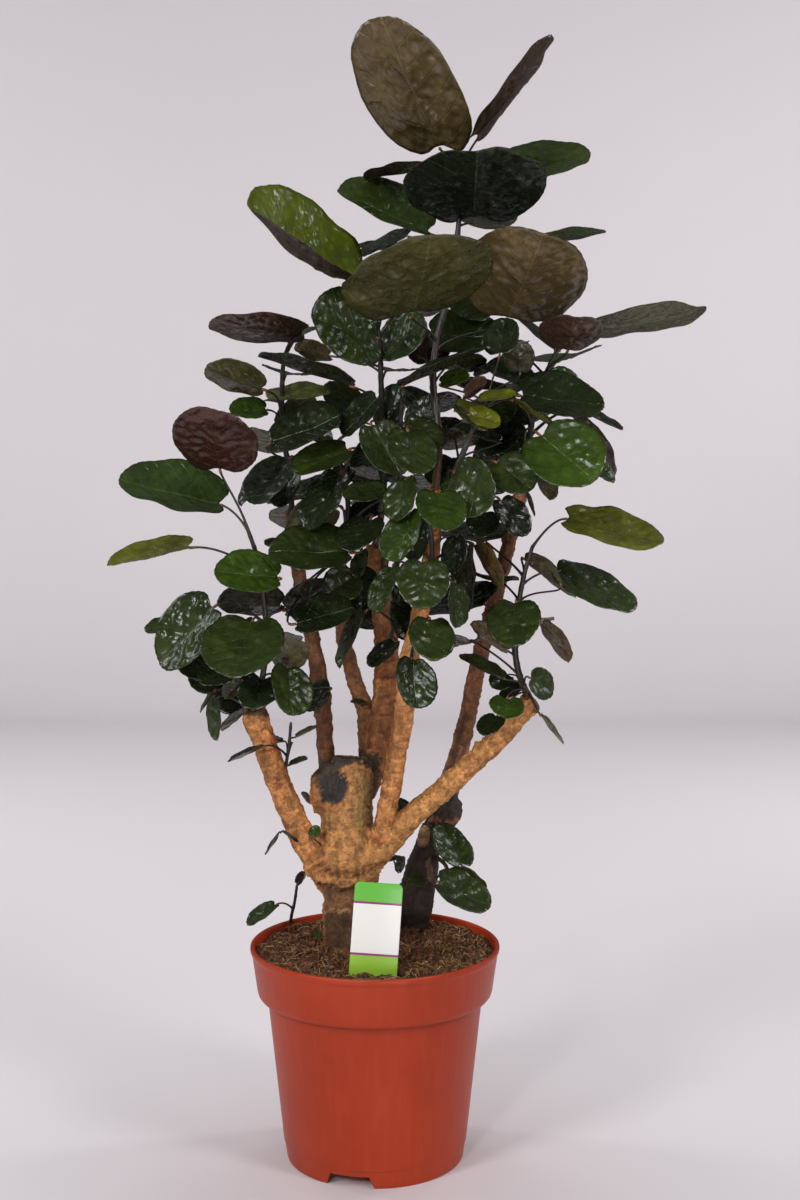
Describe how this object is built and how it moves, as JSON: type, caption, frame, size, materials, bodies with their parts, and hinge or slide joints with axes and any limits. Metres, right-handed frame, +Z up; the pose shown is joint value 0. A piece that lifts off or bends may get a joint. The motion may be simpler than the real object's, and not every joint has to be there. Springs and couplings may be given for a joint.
{
  "type": "potted fabian aralia",
  "caption": "Potted foliage plant: cut woody branches with round glossy blistered leaves, standing in soil in a round plastic nursery pot with a blank plant label.",
  "frame": {"origin": "on the ground under the middle of the pot's foot", "axes": "+Z up; -Y is the front, where the plant label stands and the picture was taken from; +X is the picture's right"},
  "size_m": [0.5513, 0.348, 1.0591],
  "materials": {
    "pot": "satin terracotta-red plastic",
    "soil": "loose brown potting soil with pale coir fibres",
    "label": "white plastic card",
    "bark": "tan bark with dark specks",
    "dark_bark": "dark brown bark",
    "leaf": "glossy leaf, dark green above and bronze below"
  },
  "bodies": {
    "root": {"pot": "pot", "soil": "soil", "label": "label", "trunk_first": "bark", "trunk_second": "dark_bark", "leaves_crown": "leaf", "leaves_centre": "leaf", "leaves_leftHigh": "leaf", "leaves_leftTall": "leaf", "leaves_leftShort": "leaf", "leaves_leftInner": "leaf", "leaves_middleLeft": "leaf", "leaves_front": "leaf", "leaves_middle": "leaf", "leaves_middleRight": "leaf", "leaves_rightHigh": "leaf", "leaves_rightLow": "leaf", "leaves_frontSprout": "leaf", "leaves_centreSprout": "leaf", "leaves_trunkSprout": "leaf", "leaves_branchSprout": "leaf", "leaves_lowSprout": "leaf", "leaves_soilSprout": "leaf"}
  },
  "joints": []
}
